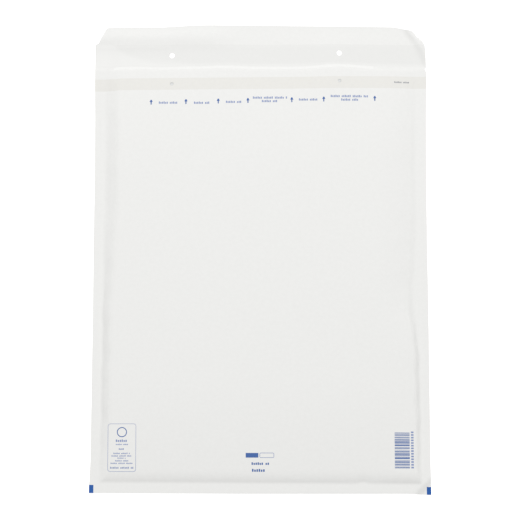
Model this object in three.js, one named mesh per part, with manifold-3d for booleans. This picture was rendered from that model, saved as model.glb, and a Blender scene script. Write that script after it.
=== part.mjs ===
// A padded mailing envelope, empty, lying on its back with its flap open.
// Millimetres, +Z up, +X to the right, +Y towards the flap. The origin is on the table, under the
// middle of the whole outline.
import * as THREE from "three";
import { mergeVertices } from "three/addons/utils/BufferGeometryUtils.js";
import Module from "manifold-3d";

// Outline of the paper
const width = 370; // across the two sealed sides
const bodyHeight = 480; // bottom edge to the flap's fold
const flapLength = 49.5; // fold to the flap's free edge
const waist = 1.25; // how far the puffed panels draw each side in
const waistFromBottom = 40; // the sides draw in over this height above the bottom edge
const waistFromFold = 150; // and widen again over this height below the fold

// Sealed strips round the pocket
const sideSeam = 11;
const bottomSeam = 12;
const seamLift = 3.5; // underside of the sealed strips above the table
const seamPress = 0.2; // how far the two plies are pressed into each other where they are sealed

// Layers
const paper = 0.3; // one ply
const film = 2.4; // bubble film with its bubbles
const clearance = 0.3; // between layers that only lie on each other
const hollow = 5.5; // free height between the two layers of film

// Swell of the padded pocket, from the sealed strips up to the flat of each panel
const leftShoulderTop = 19;
const leftShoulderBottom = 13;
const leftFoot = 1.35; // above 1, this eases the start of the left swell
const rightShoulder = 10;
const rightSlack = 34; // how much wider the right shoulder gets towards the mouth
const rightSlackFrom = 150; // heights between which that widening happens
const rightSlackFull = 290;
const rightWander = 5.5; // how far the right seal strays into the panel
const rightWanderAt = 212; // at this height
const rightWanderSpread = 45;
const bottomShoulder = 13.6;
const bottomEase = 110; // the panel goes on rising gently over this height
const bottomEaseShare = 0.4; // for this share of its rise
const backShoulder = 10;
const crown = 1; // further rise of the front panel at its middle

// Mouth
const liningSetback = 5; // the film ends this far short of the fold
const mouthDrop = 2; // the bare edge of the front panel turns down by this much
const filmEdge = 0.3; // thickness at which the film's sealed edge ends
const hollowEdge = 0.5; // height at which the hollow between the films ends

// Flap
const flapDip = 2.7; // the flap sags below its fold by this much
const flapDipAt = 11; // distance from the fold to the lowest line
const flapLipRise = 1.2; // and then rises again by this much
const flapLipAt = 41; // up to this distance from the fold
const lipPeak = -60; // where the flap is longest
const lipLift = 2; // and its free edge lifts
const lipLiftSpread = 60;
const lipTrimMost = 2.5; // how much shorter the flap is away from there
const lipTrimLeft = 41; // spread of that on the two sides
const lipTrimRight = 137;
const cornerStep = 3.6; // the upper left corner steps in by this much
const cornerStart = 27.5; // at this distance from the fold
const cornerTaper = 9.5; // and then slants in by this much up to the free edge
const cornerBlunt = 2.5; // both corners are blunted by this much

// Bent right corner of the flap: a soft ridge along a slanting crease, with the tip hanging beyond it
const creaseTopInset = 20.6; // the crease leaves the free edge this far in from the side
const creaseTopDepth = 7.5; // and this far below the free edge
const creaseEndRise = 8.6; // and reaches the side at this distance from the fold
const creaseRidge = 2.5;
const creaseWidth = 7;
const cornerDroop = 2.5;
const cornerReach = 10; // distance beyond the crease where the tip has dropped by cornerDroop
const cornerTrim = 5; // how much further the flap falls short at this corner
const cornerTrimInset = 45; // starting this far in from the side
const cornerTrimLength = 34;

// Closure strip on the flap
const stripInset = 1; // both layers end this far short of each side
const adhesiveStart = 8; // from the fold
const adhesiveWidth = 16;
const adhesiveThickness = 0.25;
const linerStart = 5.6;
const linerWidth = 21;
const linerThickness = 0.2;

// Punched holes for paper fasteners: a pair in the flap and a pair in the front panel
const holeDiameter = 6.5;
const holeSpacing = 188.8;
const holeOffset = -5; // middle of a pair
const holeSlant = 0.016; // rise of each pair's line towards the right
const flapHoleFromFold = 15.3;
const frontHoleFromFold = 18.5;

// Fineness of the surfaces
const shoulderSteps = [0.15, 0.32, 0.52, 0.75, 1];
const flatColumns = 8;
const easeRowPitch = 25;
const swellRowPitch = 28;
const mouthRowCount = 2;
const flapDipRowCount = 3;
const flapLipRowCount = 4;
const cornerSlantSteps = 4;
const lipSteps = 14;
const overrun = 0.1; // share of the corner's slant by which the trim runs on past the side
const trimMargin = 2; // how much longer than the flap its sheet is before it is trimmed
const liningFlatColumns = 7;
const liningSwellColumns = 3;
const liningSwellRows = 3;
const narrowestSwell = 4; // least width given to the swell's columns in the lining
const holeSides = 24;
const marchStep = 0.1;

const seamTop = seamLift + 2 * paper - seamPress;
const layers = paper + clearance + film;
const puff = 2 * layers + hollow;
const beyond = 40; // how far cutting tools reach past what they cut
const creaseTop = new THREE.Vector2(width / 2 - creaseTopInset, flapLength - creaseTopDepth);
const creaseEnd = new THREE.Vector2(width / 2, creaseEndRise);

const wasm = await Module();
wasm.setup();

const limit = (t) => THREE.MathUtils.clamp(t, 0, 1);
const swell = (t, foot = 1) => Math.sin((limit(t) ** foot * Math.PI) / 2);
const bell = (t) => Math.exp(-t * t);
const smooth = (t) => THREE.MathUtils.smoothstep(t, 0, 1);

// Half the paper's width at a height above the bottom edge.
function halfWidth(y) {
  return width / 2 - waist * smooth(y / waistFromBottom) * smooth((bodyHeight - y) / waistFromFold);
}

// Inner borders of the sealed sides, and where the swell beside each of them levels out.
function pocket(y) {
  const up = limit(y / bodyHeight);
  const wander = rightWander * bell((y - rightWanderAt) / rightWanderSpread);
  const slack = rightSlack * smooth((y - rightSlackFrom) / (rightSlackFull - rightSlackFrom));
  return {
    left: sideSeam - halfWidth(y),
    right: halfWidth(y) - sideSeam - wander,
    leftShoulder: THREE.MathUtils.lerp(leftShoulderBottom, leftShoulderTop, up),
    rightShoulder: rightShoulder + slack,
  };
}

// Outer face of the front panel.
function frontHeight(x, y) {
  const { left, right, leftShoulder, rightShoulder: rightWidth } = pocket(y);
  const across = swell((x - left) / leftShoulder, leftFoot) * swell((right - x) / rightWidth);
  const steep = swell((y - bottomSeam) / bottomShoulder);
  const gentle = swell((y - bottomSeam) / bottomEase);
  const along = THREE.MathUtils.lerp(steep, gentle, bottomEaseShare);
  const turned = mouthDrop * smooth((y - bodyHeight) / liningSetback + 1);
  const rise = puff - seamTop + crown * Math.cos((Math.PI * x) / width) - turned;
  return seamTop + across * along * rise;
}

// Underside of the open flap, at a distance beyond the fold. It rests on the table where it would dip below it.
function flapHeight(x, beyondFold) {
  const dip = flapDip * smooth(beyondFold / flapDipAt);
  const rise = flapLipRise * smooth((beyondFold - flapDipAt) / (flapLipAt - flapDipAt));
  const lift = lipLift * bell((x - lipPeak) / lipLiftSpread) * (beyondFold / flapLength) ** 2;
  return Math.max(0, seamLift - dip + rise + lift + cornerBend(x, beyondFold));
}

function cornerBend(x, beyondFold) {
  const along = creaseEnd.clone().sub(creaseTop).normalize();
  const past = -along.y * (x - creaseTop.x) + along.x * (beyondFold - creaseTop.y);
  const ridge = creaseRidge * bell(past / creaseWidth);
  const droop = cornerDroop * (Math.max(0, past) / cornerReach) ** 2;
  return (ridge - droop) * smooth(beyondFold / flapDipAt);
}

// Underside of the back panel: flat on the table, with its rim lifted to the sealed strips and the fold.
function backHeight(x, y) {
  if (y > bodyHeight) {
    return flapHeight(x, y - bodyHeight);
  }
  const { left, right } = pocket(y);
  const across = swell((x - left) / backShoulder) * swell((right - x) / backShoulder);
  const along = swell((y - bottomSeam) / backShoulder) * swell((bodyHeight - y) / liningSetback);
  return seamLift * (1 - across * along);
}

// Numbers from one value to another, in equal steps, without the two ends.
function between(from, to, count) {
  return Array.from({ length: count }, (_, i) => from + ((to - from) * (i + 1)) / (count + 1));
}

function pitched(from, to, pitch) {
  return between(from, to, Math.max(1, Math.round(Math.abs(to - from) / pitch) - 1));
}

// Columns of a panel at one height: the sealed side, its swell and the flat, from left to right.
function panelColumns(y, leftShoulder, rightShoulderHere) {
  const { left, right } = pocket(y);
  const flatLeft = left + leftShoulder;
  const flatRight = right - rightShoulderHere;
  return [
    -halfWidth(y),
    left - sideSeam / 2,
    left,
    ...shoulderSteps.map((t) => left + t * leftShoulder),
    ...between(flatLeft, flatRight, flatColumns),
    ...shoulderSteps.map((t) => right - t * rightShoulderHere).reverse(),
    right,
    right + sideSeam / 2,
    halfWidth(y),
  ];
}

// Rows between the steep swell at the bottom and the mouth.
function panelRows(from, mouth) {
  const easeEnd = bottomSeam + bottomEase;
  return [...pitched(from, easeEnd, easeRowPitch), easeEnd, ...pitched(easeEnd, mouth, swellRowPitch)];
}

// A closed solid between two faces that share a grid of rows and columns.
function slab(rows, columnsAt, lowerAt, upperAt) {
  const grid = rows.map((y) => columnsAt(y).map((x) => [x, y]));
  const columns = grid[0].length;
  const points = [];
  [lowerAt, upperAt].forEach((heightAt) => {
    grid.flat().forEach(([x, y]) => points.push(x, y, heightAt(x, y)));
  });
  const index = [];
  const quad = (a, b, c, d) => index.push(a, b, c, a, c, d);
  const low = (row, column) => row * columns + column;
  const high = (row, column) => grid.length * columns + low(row, column);
  for (let row = 0; row + 1 < grid.length; row += 1) {
    for (let column = 0; column + 1 < columns; column += 1) {
      quad(high(row, column), high(row, column + 1), high(row + 1, column + 1), high(row + 1, column));
      quad(low(row, column), low(row + 1, column), low(row + 1, column + 1), low(row, column + 1));
    }
    const last = columns - 1;
    quad(low(row, 0), high(row, 0), high(row + 1, 0), low(row + 1, 0));
    quad(low(row, last), low(row + 1, last), high(row + 1, last), high(row, last));
  }
  for (let column = 0; column + 1 < columns; column += 1) {
    const end = grid.length - 1;
    quad(low(0, column), low(0, column + 1), high(0, column + 1), high(0, column));
    quad(low(end, column), high(end, column), high(end, column + 1), low(end, column + 1));
  }
  const geometry = new THREE.BufferGeometry();
  geometry.setAttribute("position", new THREE.Float32BufferAttribute(points, 3));
  geometry.setIndex(index);
  return solid(geometry);
}

function solid(geometry) {
  geometry.deleteAttribute("normal");
  geometry.deleteAttribute("uv");
  const merged = mergeVertices(geometry);
  return new wasm.Manifold(
    new wasm.Mesh({
      numProp: 3,
      vertProperties: merged.attributes.position.array,
      triVerts: new Uint32Array(merged.index.array),
    }),
  );
}

function mesh(name, made, material) {
  const { vertProperties, triVerts } = made.getMesh();
  const geometry = new THREE.BufferGeometry();
  geometry.setAttribute("position", new THREE.BufferAttribute(vertProperties, 3));
  geometry.setIndex(new THREE.BufferAttribute(triVerts, 1));
  geometry.computeVertexNormals();
  const named = new THREE.Mesh(geometry, material);
  named.name = name;
  return named;
}

// The two punches of a pair, cutting from a level upwards.
function punches(fromFold, fromLevel) {
  return [-1, 1].map((side) => {
    const across = (side * holeSpacing) / 2;
    const cylinder = new THREE.CylinderGeometry(holeDiameter / 2, holeDiameter / 2, beyond, holeSides);
    cylinder.rotateX(Math.PI / 2);
    cylinder.translate(
      holeOffset + across,
      bodyHeight + fromFold + holeSlant * across,
      fromLevel + beyond / 2,
    );
    return solid(cylinder);
  });
}

// How much shorter the flap is at a place than where it is longest.
function lipTrim(x) {
  const spread = x < lipPeak ? lipTrimLeft : lipTrimRight;
  const corner = cornerTrim * smooth((x - width / 2 + cornerTrimInset) / cornerTrimLength);
  return lipTrimMost * (1 - bell((x - lipPeak) / spread)) + corner;
}

// What is trimmed off the flap: both upper corners slant in, the left one after a step, up to an uneven free edge.
function flapTrim() {
  const edge = width / 2;
  const start = bodyHeight + cornerStart;
  const slantHeight = flapLength - cornerStart;
  const tip = edge - cornerStep - cornerTaper;
  const place = (x, up) => new THREE.Vector2(x, start + slantHeight * up - lipTrim(x) * smooth(up));
  const blunted = 1 - cornerBlunt / slantHeight;
  const slant = [...between(0, blunted, cornerSlantSteps), blunted];
  const leftSide = [0, ...slant].map((up) => place(cornerStep + cornerTaper * up - edge, up));
  const rightSide = [-overrun, ...slant].map((up) => place(edge - (cornerStep + cornerTaper) * up, up));
  const lip = [cornerBlunt - tip, ...between(cornerBlunt - tip, tip - cornerBlunt, lipSteps), tip - cornerBlunt];
  const outline = new THREE.Shape([
    ...leftSide,
    ...lip.map((x) => place(x, 1)),
    ...rightSide.reverse(),
    new THREE.Vector2(edge + beyond, rightSide.at(-1).y),
    new THREE.Vector2(edge + beyond, start + slantHeight + beyond),
    new THREE.Vector2(-edge - beyond, start + slantHeight + beyond),
    new THREE.Vector2(-edge - beyond, start),
  ]);
  const trim = new THREE.ExtrudeGeometry(outline, { depth: beyond, bevelEnabled: false });
  trim.translate(0, 0, -beyond / 2);
  return solid(trim);
}

const cutBy = (made, tools) => tools.reduce((left, tool) => left.subtract(tool), made);

const flapHoles = punches(flapHoleFromFold, -beyond / 2);
const frontHoles = punches(-frontHoleFromFold, puff / 2);

// Rows of the flap and of the strips on it, which share them, so that the layers run level with each other.
function flapRows() {
  const dipRows = [...between(0, flapDipAt, flapDipRowCount), flapDipAt];
  const lipRows = [...between(flapDipAt, flapLipAt, flapLipRowCount), flapLipAt, flapLength + trimMargin];
  const stripEdges = [adhesiveStart, adhesiveStart + adhesiveWidth, linerStart, linerStart + linerWidth];
  const fromFold = [...dipRows, ...lipRows, ...stripEdges].sort((a, b) => a - b);
  const apart = fromFold.filter((out, i) => i === 0 || out > fromFold[i - 1]);
  return apart.map((out) => bodyHeight + out);
}

// One paper blank: the back panel runs on into the flap, and the front panel is sealed to it on three sides.
function paperEnvelope() {
  const mouth = bodyHeight - liningSetback;
  const rows = [
    0,
    bottomSeam,
    ...shoulderSteps.map((t) => bottomSeam + t * bottomShoulder),
    ...panelRows(bottomSeam + bottomShoulder, mouth),
    mouth,
    ...between(mouth, bodyHeight, mouthRowCount),
    bodyHeight,
  ];
  const frontColumns = (y) => {
    const { leftShoulder, rightShoulder: rightWidth } = pocket(y);
    return panelColumns(y, leftShoulder, rightWidth);
  };
  const backColumns = (y) => panelColumns(y, backShoulder, backShoulder);
  const front = slab(rows, frontColumns, (x, y) => frontHeight(x, y) - paper, frontHeight);
  const backRows = [...rows, ...flapRows()];
  const back = slab(backRows, backColumns, backHeight, (x, y) => backHeight(x, y) + paper);
  return cutBy(front.add(back), [flapTrim(), ...flapHoles, ...frontHoles]);
}

// First place, going inwards from a start, where the two panels stand a given height apart.
function marchInwards(start, direction, heightAt, needed) {
  let place = start;
  while (heightAt(place) < needed) {
    place += direction * marchStep;
  }
  return place;
}

// A pillow that keeps a distance inside both panels, and ends where it would be thinner than its edge.
function pillow(inside, edge, end) {
  const needed = 2 * inside + edge;
  const apart = (x, y) => frontHeight(x, y) - backHeight(x, y);
  const within = (y) => Math.min(y, bodyHeight - liningSetback);
  const firstRow = marchInwards(bottomSeam, 1, (y) => apart(0, y), needed + marchStep);
  const steepEnd = Math.max(firstRow + edge, bottomSeam + bottomShoulder);
  const rows = [
    firstRow,
    ...between(firstRow, steepEnd, liningSwellRows),
    steepEnd,
    ...panelRows(steepEnd, end),
    end,
  ];
  const columnsAt = (y) => {
    const { left, right, leftShoulder, rightShoulder: rightWidth } = pocket(within(y));
    const from = marchInwards(left, 1, (x) => apart(x, within(y)), needed);
    const to = marchInwards(right, -1, (x) => apart(x, within(y)), needed);
    const flatLeft = Math.max(left + leftShoulder, from + narrowestSwell);
    const flatRight = Math.min(right - rightWidth, to - narrowestSwell);
    return [
      from,
      ...between(from, flatLeft, liningSwellColumns),
      flatLeft,
      ...between(flatLeft, flatRight, liningFlatColumns),
      flatRight,
      ...between(flatRight, to, liningSwellColumns),
      to,
    ];
  };
  return slab(
    rows,
    columnsAt,
    (x, y) => backHeight(x, within(y)) + inside,
    (x, y) => frontHeight(x, within(y)) - inside,
  );
}

// One folded pouch of bubble film, open towards the flap.
function bubbleLining() {
  const mouth = bodyHeight - liningSetback;
  const outside = pillow(paper + clearance, filmEdge, mouth);
  const inside = pillow(layers, hollowEdge, mouth + liningSetback);
  return cutBy(outside, [inside, ...frontHoles]);
}

// A strip that follows the flap's upper face at a height above it.
function flapStrip(start, stripWidth, level, thickness) {
  const from = bodyHeight + start;
  const to = from + stripWidth;
  const rows = [from, ...flapRows().filter((y) => y > from && y < to), to];
  const columnsAt = (y) => {
    const columns = panelColumns(y, backShoulder, backShoulder);
    const side = halfWidth(y) - stripInset;
    return columns.map((x) => THREE.MathUtils.clamp(x, -side, side));
  };
  const lower = (x, y) => backHeight(x, y) + paper + level;
  const strip = slab(rows, columnsAt, lower, (x, y) => lower(x, y) + thickness);
  return cutBy(strip, flapHoles);
}

const paperFinish = new THREE.MeshStandardMaterial({ color: 0xf1f1ef, roughness: 0.85, metalness: 0 });
const filmFinish = new THREE.MeshStandardMaterial({ color: 0xe6ecee, roughness: 0.25, metalness: 0 });
const adhesiveFinish = new THREE.MeshStandardMaterial({ color: 0xeee8d2, roughness: 0.3, metalness: 0 });
const linerFinish = new THREE.MeshStandardMaterial({ color: 0xededeb, roughness: 0.45, metalness: 0 });

const adhesiveLevel = clearance;
const linerLevel = adhesiveLevel + adhesiveThickness + clearance;
const adhesive = flapStrip(adhesiveStart, adhesiveWidth, adhesiveLevel, adhesiveThickness);
const liner = flapStrip(linerStart, linerWidth, linerLevel, linerThickness);

const laid = new THREE.Group();
laid.position.y = -(bodyHeight + flapLength) / 2;
laid.add(
  mesh("paper_envelope", paperEnvelope(), paperFinish),
  mesh("bubble_lining", bubbleLining(), filmFinish),
  mesh("adhesive_strip", adhesive, adhesiveFinish),
  mesh("release_liner", liner, linerFinish),
);

const envelope = new THREE.Group();
envelope.add(laid);

export default envelope;
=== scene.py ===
# A padded mailing envelope, empty, lying on its back with its flap open.
# Metres, in the frame of the solids: +Z up, +X to the right, +Y towards the flap.
import math

import bpy
import numpy as np
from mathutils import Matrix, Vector


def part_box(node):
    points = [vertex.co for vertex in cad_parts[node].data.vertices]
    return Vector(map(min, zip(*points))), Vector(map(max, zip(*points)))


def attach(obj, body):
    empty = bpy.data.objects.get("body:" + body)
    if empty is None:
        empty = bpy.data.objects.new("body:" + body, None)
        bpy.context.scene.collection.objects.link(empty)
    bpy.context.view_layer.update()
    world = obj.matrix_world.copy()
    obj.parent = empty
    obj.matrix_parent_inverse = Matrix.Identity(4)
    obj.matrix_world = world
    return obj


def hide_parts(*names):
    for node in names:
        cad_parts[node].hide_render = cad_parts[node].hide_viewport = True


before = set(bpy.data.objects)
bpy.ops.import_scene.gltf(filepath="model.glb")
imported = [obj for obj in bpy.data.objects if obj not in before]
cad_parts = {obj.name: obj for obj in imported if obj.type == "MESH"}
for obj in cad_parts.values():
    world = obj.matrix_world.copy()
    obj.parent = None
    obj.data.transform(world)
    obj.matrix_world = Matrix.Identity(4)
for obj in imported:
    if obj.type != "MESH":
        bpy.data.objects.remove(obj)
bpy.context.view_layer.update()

MM = 0.001
paper_low, paper_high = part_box("paper_envelope")

# Outline of the paper. Heights up the envelope are measured from its bottom edge.
WIDTH = paper_high.x - paper_low.x
BOTTOM_Y = paper_low.y
FLAP = 49.5 * MM
BODY = paper_high.y - paper_low.y - FLAP

# Strays of the sides: a waist that the swell draws in, a lean to the right, a sway of the lower half and
# a flare at the mouth. The right edge is nipped in at the bottom and notched at the fold.
WAIST = 1 * MM
WAIST_FROM_BOTTOM = 40 * MM
WAIST_FROM_FOLD = 150 * MM
LEAN = 0.75 * MM
SWAY = 0.45 * MM
SWAY_FROM = 290 * MM
SWAY_LENGTH = 100 * MM
MOUTH_FLARE = 0.7 * MM
MOUTH_FLARE_LENGTH = 70 * MM
RIGHT_NIP = 0.5 * MM
NOTCH = 1.7 * MM
NOTCH_SPREAD = 1.6 * MM

# Sealed strips along the sides and the bottom, which lie above the table
SIDE_SEAM = 11 * MM
BOTTOM_SEAM = 12 * MM
SEAM_LIFT = 3.5 * MM

# Inner borders of the side seams: both wave, the left one is nearer its edge at the bottom,
# and the right one wanders in
BORDER_WAVE = 0.7 * MM
BORDER_WAVE_LENGTHS = (47 * MM, 113 * MM)
LEFT_TAKE = 1.2 * MM
LEFT_TAKE_LENGTH = 120 * MM
RIGHT_WANDER = 5.5 * MM
RIGHT_WANDER_AT = 212 * MM
RIGHT_WANDER_SPREAD = 45 * MM

# Strays of the bottom: its edge tilts on the left and sags on the right,
# and the border of its seam tilts and puckers
EDGE_TILT = 0.0045
EDGE_SAG = 0.7 * MM
EDGE_SAG_LENGTH = 32 * MM
BORDER_TILT = 0.0055
PUCKER = 1.8 * MM
PUCKER_AT = 111 * MM
PUCKER_SPREAD = 4 * MM
BOTTOM_SHIFT_REACH = 40 * MM

# Curl of the bottom right corner: where it starts, which way it goes and how far down
CURL_START = (WIDTH / 2 - 14.3 * MM, 4.6 * MM)
CURL_WAY = (0.71, -0.71)
CURL_SLOPE = 0.62
CURL_MOST = 3.4 * MM

# Layers. The paper is thinner than that of the solids, which the swell is worked out from.
PAPER = 0.2 * MM
SOLID_PAPER = 0.3 * MM
CLEARANCE = 0.3 * MM
FILM = 2.4 * MM
HOLLOW = 5.5 * MM
SEAM_TOP = SEAM_LIFT + 2 * PAPER
LAYERS = SOLID_PAPER + CLEARANCE + FILM
PUFF = 2 * LAYERS + HOLLOW

# Swell of the front panel beside the left seam, steeper towards the bottom
LEFT_SHOULDER_TOP = 18.5 * MM
LEFT_SHOULDER_BOTTOM = 11.5 * MM
LEFT_FOOT_TOP = 1.5
LEFT_FOOT_BOTTOM = 1.2
LEFT_EASE_FROM = 180 * MM
LEFT_EASE_FULL = 330 * MM

# Its swell beside the right seam: a steep start, and a slow rest that grows towards the mouth
RIGHT_SHOULDER = 7 * MM
RIGHT_EASE = 44 * MM
RIGHT_EASE_SHARE_BOTTOM = 0.4
RIGHT_EASE_FROM = 150 * MM
RIGHT_EASE_FULL = 240 * MM

# Its swell above the bottom seam: a steep start, and a slow rest that shrinks in the right corner
BOTTOM_SHOULDER = 15 * MM
BOTTOM_EASE = 110 * MM
BOTTOM_EASE_SHARE = 0.66
BOTTOM_EASE_SHARE_RIGHT = 0.2
BOTTOM_EASE_RIGHT_LENGTH = 60 * MM

# Crown of the front panel, and the swell of the back panel
CROWN = 1 * MM
BACK_SHOULDER = 10 * MM

# Mouth: the front panel sinks towards it, turns down and is pressed thin at its edge,
# and gapes on the right. The lining ends short of it.
MOUTH_GAP = 0.06 * MM
MOUTH_SINK_SHARE = 0.87
MOUTH_SINK_LENGTH = 120 * MM
MOUTH_TURN = 3 * MM
LIP_THINNING = 0.15 * MM
LIP_THINNING_LENGTH = 1 * MM
LINING_SETBACK = 5 * MM
GAPE = 2 * MM
GAPE_AT = 84 * MM
GAPE_SPREAD = 28 * MM
GAPE_LENGTH = 70 * MM

# Fold between the back panel and the flap: its rise, its strays, and its wear, whose whitening is partly
# a painted highlight along the ridge.
# A bulge has a place, a spread and a size.
FOLD_RISE = 2.2 * MM
FOLD_RISE_SHOULDER = 60 * MM
FOLD_REACH = 12 * MM
FOLD_SAG = 2.5 * MM
FOLD_BULGES = (
    (88 * MM, 27 * MM, 2.7 * MM),
    (-40 * MM, 24 * MM, 1.5 * MM),
    (-112 * MM, 12 * MM, -0.7 * MM),
    (-172 * MM, 14 * MM, -1 * MM),
)
# The first flap rows beyond the fold are worn paper. Their lighter shade is partly a painted highlight
# along the ridge
FOLD_WEAR_HIGHLIGHT_ROWS = 2
FOLD_WEAR_HIGHLIGHT_ENDS = (-165 * MM, 125 * MM)

# Relief of the flap: it dips beyond the fold, more and longer on the left,
# and its lip falls, with a swell on the left
FLAP_DIP = 1.2 * MM
FLAP_DIP_AT = 6 * MM
LEFT_DIP_MORE = 1.4 * MM
LEFT_DIP_LONGER = 12 * MM
LEFT_DIP_END = -75 * MM
LEFT_DIP_BLEND = 45 * MM
LIP_FALL = 0.3 * MM
LIP_FALL_FROM = 22 * MM
LIP_SWELL = 2.4 * MM
LIP_SWELL_AT = 36 * MM
LIP_SWELL_SPREAD = 10 * MM
LIP_SWELL_END = -10 * MM
LIP_SWELL_BLEND = 60 * MM

# Free edge of the flap: it is longest at its peak and shortest at the right corner
LIP_PEAK = -60 * MM
LIP_REACH = 0.6 * MM
LIP_TRIM = 1.8 * MM
LIP_TRIM_LEFT = 34 * MM
LIP_TRIM_RIGHT = 137 * MM
CORNER_TRIM = 6.2 * MM
CORNER_TRIM_FROM = WIDTH / 2 - 38 * MM
CORNER_TRIM_LENGTH = 32 * MM

# Corners of the flap: both slant in and are round, and the left one steps in first
CORNER_STEP = 3.6 * MM
CORNER_START = 29 * MM
CORNER_TAPER = 9 * MM
CORNER_ROUND = 2.5 * MM
RIGHT_CORNER_START = 26 * MM
RIGHT_CORNER_TAPER = 12.6 * MM
RIGHT_FLAP_TAPER = 1.3 * MM

# Bent right corner: the ends of its crease, across and beyond the fold, its ridge and the drop of its tip
CREASE_TOP = (WIDTH / 2 - 12.2 * MM, FLAP - 10 * MM)
CREASE_END = (WIDTH / 2, 16.5 * MM)
CREASE_RIDGE = 3.2 * MM
CREASE_WIDTH = 5.5 * MM
CORNER_DROOP = 2.5 * MM
CORNER_REACH = 10 * MM

# Closure strip on the flap
STRIP_INSET = 1 * MM
STRIP_GAP = 0.02 * MM
ADHESIVE_START = 8 * MM
ADHESIVE_WIDTH = 16 * MM
ADHESIVE_THICKNESS = 0.1 * MM
LINER_START = 3.6 * MM
LINER_WIDTH = 23 * MM
LINER_THICKNESS = 0.05 * MM
LINER_EDGE = 2 * MM
LINER_CREASE = 0.12 * MM
LINER_CREASE_AT = 21 * MM
LINER_CREASE_END = -95 * MM
LINER_CREASE_BLEND = 20 * MM

# Painted light on the liner: a lighter part, which lies beside the fold and reaches further out at the
# left end
LIT_LINER_LEAST = 3.5 * MM
LIT_LINER_MORE = 18.8 * MM
LIT_LINER_MORE_AT = -160 * MM
LIT_LINER_MORE_LENGTH = 22 * MM
LIT_LINER_BLEND = 4 * MM

# Band on the front panel that the adhesive closes on, below the fold
BAND_TOP = 12.5 * MM
BAND_BOTTOM = 26.5 * MM
BAND_SLANT = 0.009

# Punched holes
FLAP_HOLE_RADIUS = 2.9 * MM
FRONT_HOLE_RADIUS = 2 * MM
HOLE_SPACING = 187.4 * MM
HOLE_OFFSET = -5.2 * MM
FLAP_HOLE_FROM_FOLD = 15.2 * MM
FRONT_HOLE_FROM_FOLD = 18.8 * MM
FLAP_HOLE_SLANT = 0.0125
FRONT_HOLE_SLANT = 0.018
HOLE_SIDES = 32
PUNCH_DEPTH = 40 * MM

# Bubble film. A ring of a bubble has its share of the radius and of the height.
WEB = 0.15 * MM
WEB_PARTING = 0.05 * MM
WEB_MARGIN = 4 * MM
WEB_MARGIN_STEPS = 3
WEB_COLUMNS = 56
WEB_PITCH = 6 * MM
BUBBLE_RADIUS = 4.9 * MM
BUBBLE_PITCH = 11.6 * MM
BUBBLE_SIDES = 8
BUBBLE_RINGS = ((1.0, 0.0), (0.9, 0.7), (0.55, 0.97))
BUBBLE_GAP = 0.2 * MM
BUBBLE_LEAST_ROOM = 1.5 * MM
HOLE_FULLNESS = 1.06

# Print on the front panel
INK_GAP = 0.05 * MM
INK_THICKNESS = 0.02 * MM
INK_STEP = 2 * MM
SAME_PLACE = 0.001 * MM
ROUND_CORNER_POINTS = 7

# Blocks that stand for letters: their pitch as a share of their height, their width as a share of
# that pitch, how many heights there are, how much lower each next one is, and the run of places
# whose last one is a gap between words
LETTER_SHARE = 0.8
LETTER_FILL = 0.68
LETTER_SIZES = 3
LETTER_DROP = 0.12
LETTER_RUN = 7

# Row of arrows and words below the fold. Its line slants as the line of the front holes does.
# Words have their two ends and how many lines they lie above the row.
OPENING_LINE = 40 * MM
OPENING_SLANT = FRONT_HOLE_SLANT
ARROW_PLACES = (-121.7 * MM, -82.9 * MM, -46.9 * MM, -13.8 * MM, 35.1 * MM, 70.7 * MM, 127.6 * MM)
ARROW_HEIGHT = 5.6 * MM
ARROW_WIDTH = 3.4 * MM
STEM_HEIGHT = 3 * MM
STEM_WIDTH = 1.2 * MM
WORD_HEIGHT = 2.6 * MM
WORD_LETTER = 1.75 * MM
WORD_LINE = 4.1 * MM
PAIR_UP = 0.75
PAIR_DOWN = -0.25
OPENING_WORDS = (
    (-113.1 * MM, -91.7 * MM, -0.2),
    (-73.9 * MM, -56.1 * MM, -0.4),
    (-38.3 * MM, -21.6 * MM, -0.3),
    (43 * MM, 64.1 * MM, 0),
    (-8.3 * MM, 29.6 * MM, PAIR_UP),
    (1.7 * MM, 19.6 * MM, PAIR_DOWN),
    (78.5 * MM, 119.8 * MM, PAIR_UP),
    (90.2 * MM, 108.7 * MM, PAIR_DOWN),
)

# Label near the left bottom corner: a round-cornered frame, a ring and lines of words.
# A line of words has its foot, half its length and its height.
LABEL_LEFT = -164.8 * MM
LABEL_RIGHT = -134.6 * MM
LABEL_LOW = 23 * MM
LABEL_HIGH = 75.2 * MM
LABEL_CORNER = 2.6 * MM
LABEL_LINE = 0.38 * MM
RING_RADIUS = 5 * MM
RING_FROM_TOP = 9 * MM
RING_LINE = 0.9 * MM
LABEL_WORDS = (
    (55.6 * MM, 6.5 * MM, 2.6 * MM),
    (52.2 * MM, 6.5 * MM, 1.4 * MM),
    (47 * MM, 3.2 * MM, 1.8 * MM),
    (42.4 * MM, 9 * MM, 1.5 * MM),
    (39.6 * MM, 11 * MM, 1.5 * MM),
    (37.2 * MM, 4.5 * MM, 1.4 * MM),
    (34.2 * MM, 7 * MM, 1.5 * MM),
    (31.4 * MM, 12 * MM, 1.5 * MM),
    (26.2 * MM, 12.5 * MM, 2 * MM),
)

# At the bottom, in the middle: a plain bar, an open bar beside it and two lines of words
BAR_LOW = 38.6 * MM
BAR_HIGH = 43.6 * MM
BAR_CORNER = 1.2 * MM
SOLID_BAR = (-15.8 * MM, -2.2 * MM)
OPEN_BAR = (-0.6 * MM, 14.6 * MM)
BAR_LINE = 0.5 * MM
MIDDLE_WORDS = ((30.8 * MM, 9.5 * MM, 2.7 * MM), (23.4 * MM, 9 * MM, 3 * MM))

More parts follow.
